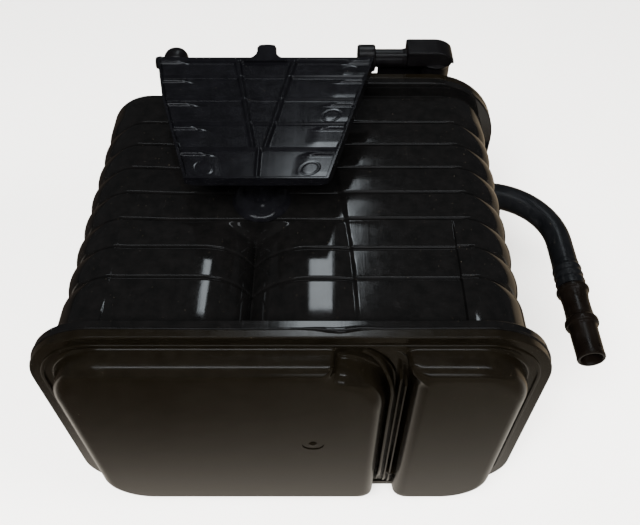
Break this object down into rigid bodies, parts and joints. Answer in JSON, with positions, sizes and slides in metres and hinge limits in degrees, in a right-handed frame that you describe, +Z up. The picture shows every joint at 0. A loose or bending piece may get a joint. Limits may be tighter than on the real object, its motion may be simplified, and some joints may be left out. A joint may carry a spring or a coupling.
{
  "type": "vapour canister",
  "caption": "Two-chamber charcoal canister with a ribbed housing, welded covers, a top mounting bracket, rear ports and a side tube ending in a push-fit fitting.",
  "frame": {"origin": "middle of the underside of the whole object's bounding box, on the surface it rests on", "axes": "+X to the side the fresh-air tube is on, +Y from the front cover to the rear ports, +Z up to the bracket"},
  "size_m": [0.2994, 0.231, 0.1911],
  "materials": {
    "black_nylon": "moulded gloss",
    "inner_nylon": "moulded",
    "tube_plastic": "satin",
    "fitting_plastic": "satin",
    "rubber_seal": "matte",
    "charcoal": "granular",
    "filter_foam": "open foam",
    "spring_steel": "drawn wire"
  },
  "bodies": {
    "housing": {"canister_body": "black_nylon", "front_cover": "black_nylon", "rear_cover": "black_nylon", "mounting_bracket": "black_nylon", "purge_elbow": "black_nylon", "purge_elbow_seal": "rubber_seal", "purge_nozzle_collar": "black_nylon", "tank_elbow": "black_nylon", "tank_elbow_seal": "rubber_seal", "fresh_air_tube": "tube_plastic", "fresh_air_grommet": "rubber_seal", "quick_connect_end": "fitting_plastic", "main_spring_1": "spring_steel", "main_spring_2": "spring_steel", "main_spring_3": "spring_steel", "main_spring_4": "spring_steel", "main_front_filter": "filter_foam", "main_carbon_bed": "charcoal", "main_rear_filter": "filter_foam", "main_rear_grid": "inner_nylon", "second_spring_1": "spring_steel", "second_spring_2": "spring_steel", "second_front_filter": "filter_foam", "second_carbon_bed": "charcoal", "second_rear_filter": "filter_foam", "second_rear_grid": "inner_nylon"},
    "main_plate": {"main_pressure_plate": "inner_nylon"},
    "second_plate": {"second_pressure_plate": "inner_nylon"}
  },
  "joints": [
    {"name": "main_plate_slide", "type": "slide", "parent": "housing", "child": "main_plate", "axis": [0, 1, 0], "range_m": [-0.01, 0], "stiffness_N_per_m": 1500, "springref_m": 0.02, "deforming": ["main_spring_1", "main_spring_2", "main_spring_3", "main_spring_4"]},
    {"name": "second_plate_slide", "type": "slide", "parent": "housing", "child": "second_plate", "axis": [0, 1, 0], "range_m": [-0.01, 0], "stiffness_N_per_m": 800, "springref_m": 0.02, "deforming": ["second_spring_1", "second_spring_2"]}
  ]
}
